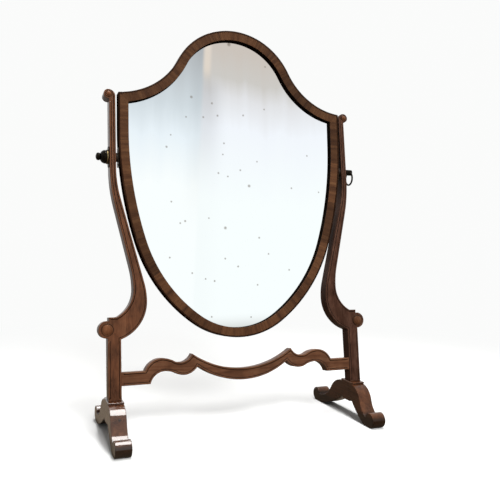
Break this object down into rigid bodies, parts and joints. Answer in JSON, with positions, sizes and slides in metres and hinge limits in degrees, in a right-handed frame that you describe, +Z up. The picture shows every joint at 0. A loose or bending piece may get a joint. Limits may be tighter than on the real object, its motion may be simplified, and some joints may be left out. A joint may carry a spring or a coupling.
{
  "type": "dressing table mirror",
  "caption": "Shield-shaped mirror in a crossbanded mahogany frame, tilting between two curved uprights on scroll-toed trestle feet joined by a shaped stretcher.",
  "frame": {"origin": "on the table, under the middle of the feet: the bottom centre of the bounding box", "axes": "+X to the viewer's right along the stretcher, +Y to the back, +Z up"},
  "size_m": [0.387, 0.1724, 0.5534],
  "materials": {
    "stand_mahogany": "polished, worn, reddish brown",
    "turned_mahogany": "polished, a little lighter than the stand",
    "core_wood": "stained dark, matt",
    "lipping_mahogany": "polished, dark",
    "crossbanding": "polished veneer with the grain across the band",
    "silvered_glass": "silvered plate with a few dark foxing spots",
    "backboard_pine": "bare aged softwood",
    "screw_steel": "dull",
    "dark_brass": "dark patina",
    "washer_leather": "worn"
  },
  "bodies": {
    "stand": {"left_upright": "stand_mahogany", "right_upright": "stand_mahogany", "left_roundel": "turned_mahogany", "right_roundel": "turned_mahogany", "left_scroll_boss": "turned_mahogany", "right_scroll_boss": "turned_mahogany", "stretcher": "stand_mahogany", "left_foot": "stand_mahogany", "right_foot": "stand_mahogany", "left_escutcheon": "dark_brass", "right_escutcheon": "dark_brass"},
    "mirror": {"crest_rail": "core_wood", "left_stile": "core_wood", "right_stile": "core_wood", "base_rail": "core_wood", "crest_lipping": "lipping_mahogany", "left_lipping": "lipping_mahogany", "right_lipping": "lipping_mahogany", "crest_crossbanding": "crossbanding", "left_crossbanding": "crossbanding", "right_crossbanding": "crossbanding", "mirror_glass": "silvered_glass", "glass_blocks": "core_wood", "backboard": "backboard_pine", "backboard_screws": "screw_steel", "left_pivot_plate": "dark_brass", "right_pivot_plate": "dark_brass", "pivot_plate_screws": "screw_steel", "left_washer": "washer_leather", "right_washer": "washer_leather"},
    "left_screw": {"left_pivot_screw": "dark_brass", "left_knob": "dark_brass"},
    "right_screw": {"right_pivot_screw": "dark_brass"},
    "ring": {"right_ring": "dark_brass"}
  },
  "joints": [
    {"name": "mirror_tilt", "type": "hinge", "parent": "stand", "child": "mirror", "pos_m": [0, 0.03062, 0.36057], "axis": [1, 0, 0], "range_deg": [-146, 141]},
    {"name": "left_screw_turn", "type": "hinge", "parent": "stand", "child": "left_screw", "pos_m": [-0.1784, 0.03062, 0.36057], "axis": [-1, 0, 0], "continuous": true},
    {"name": "right_screw_turn", "type": "hinge", "parent": "stand", "child": "right_screw", "pos_m": [0.1784, 0.03062, 0.36057], "axis": [1, 0, 0], "continuous": true},
    {"name": "ring_swing", "type": "hinge", "parent": "right_screw", "child": "ring", "pos_m": [0.1869, 0.03062, 0.36057], "axis": [0, -1, 0], "range_deg": [-24, 204]}
  ]
}
